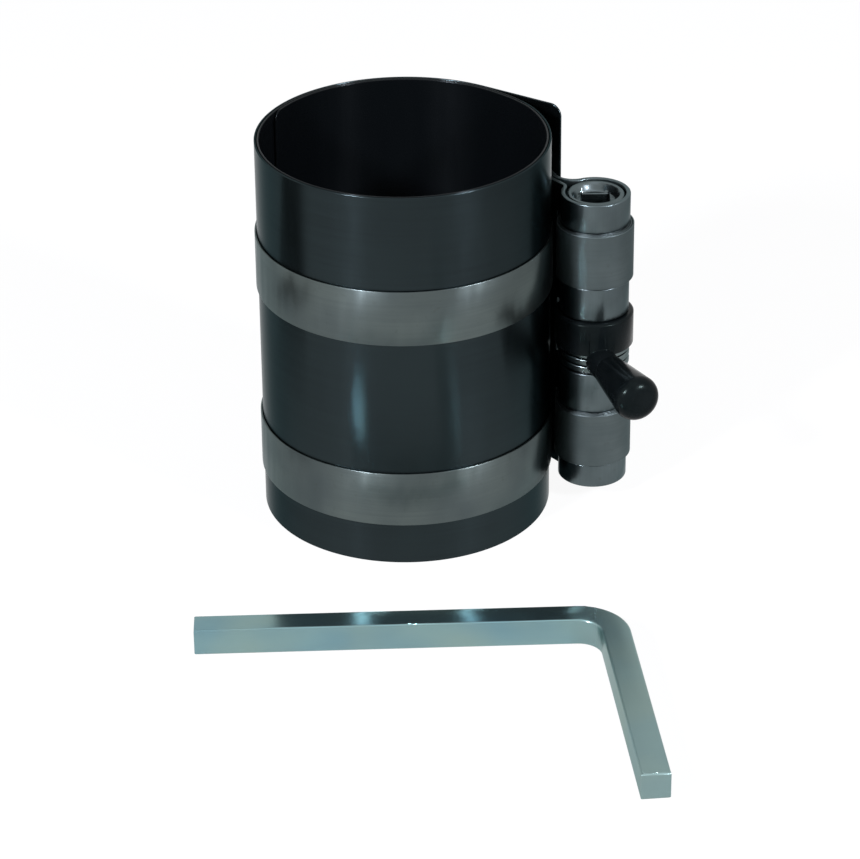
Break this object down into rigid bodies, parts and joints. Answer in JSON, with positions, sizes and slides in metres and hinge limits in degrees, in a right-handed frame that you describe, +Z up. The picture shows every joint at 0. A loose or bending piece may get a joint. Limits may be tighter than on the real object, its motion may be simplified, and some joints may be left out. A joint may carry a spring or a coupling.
{
  "type": "piston ring compressor",
  "caption": "Wound steel sleeve that two bands draw tight round a piston's rings, with a winding spindle, a release lever and a loose square key.",
  "frame": {"origin": "middle of the sleeve's lower rim, on the sleeve's axis, on the surface that it stands on", "axes": "+Z up along the sleeve's bore; the winding spindle stands on +X; the key lies on the ground on the -Y side"},
  "size_m": [0.0907, 0.1426, 0.08],
  "materials": {
    "blued_sheet": "glossy blued spring steel sheet",
    "band_steel": "satin grey spring steel strip",
    "bracket_steel": "satin grey pressed strip",
    "turned_steel": "turned bright steel",
    "spring_wire": "bright flat spring wire",
    "rivet_steel": "plain steel",
    "black_moulding": "black moulded plastic, half gloss",
    "zinc_plate": "bright bluish zinc plate"
  },
  "bodies": {
    "frame": {"sleeve": "blued_sheet", "lower_band": "band_steel", "upper_band": "band_steel", "bracket": "bracket_steel", "bracket_rivets": "rivet_steel", "clutch_spring": "spring_wire"},
    "winding_spindle": {"spindle": "turned_steel", "lower_band_coil": "band_steel", "upper_band_coil": "band_steel"},
    "release_lever": {"release_collar": "black_moulding", "lever_stud": "turned_steel", "lever_grip": "black_moulding"},
    "key": {"square_key": "zinc_plate"}
  },
  "joints": [
    {"name": "spindle_turn", "type": "hinge", "parent": "frame", "child": "winding_spindle", "pos_m": [0.038, 0, 0], "axis": [0, 0, 1], "continuous": true},
    {"name": "release_turn", "type": "hinge", "parent": "frame", "child": "release_lever", "pos_m": [0.038, 0, 0], "axis": [0, 0, 1], "range_deg": [-25, 0], "stiffness_Nm_per_rad": 0.05},
    {"name": "key_lift", "type": "slide", "parent": "frame", "child": "key", "axis": [0, 0, 1], "range_m": [0, 0.09]}
  ]
}
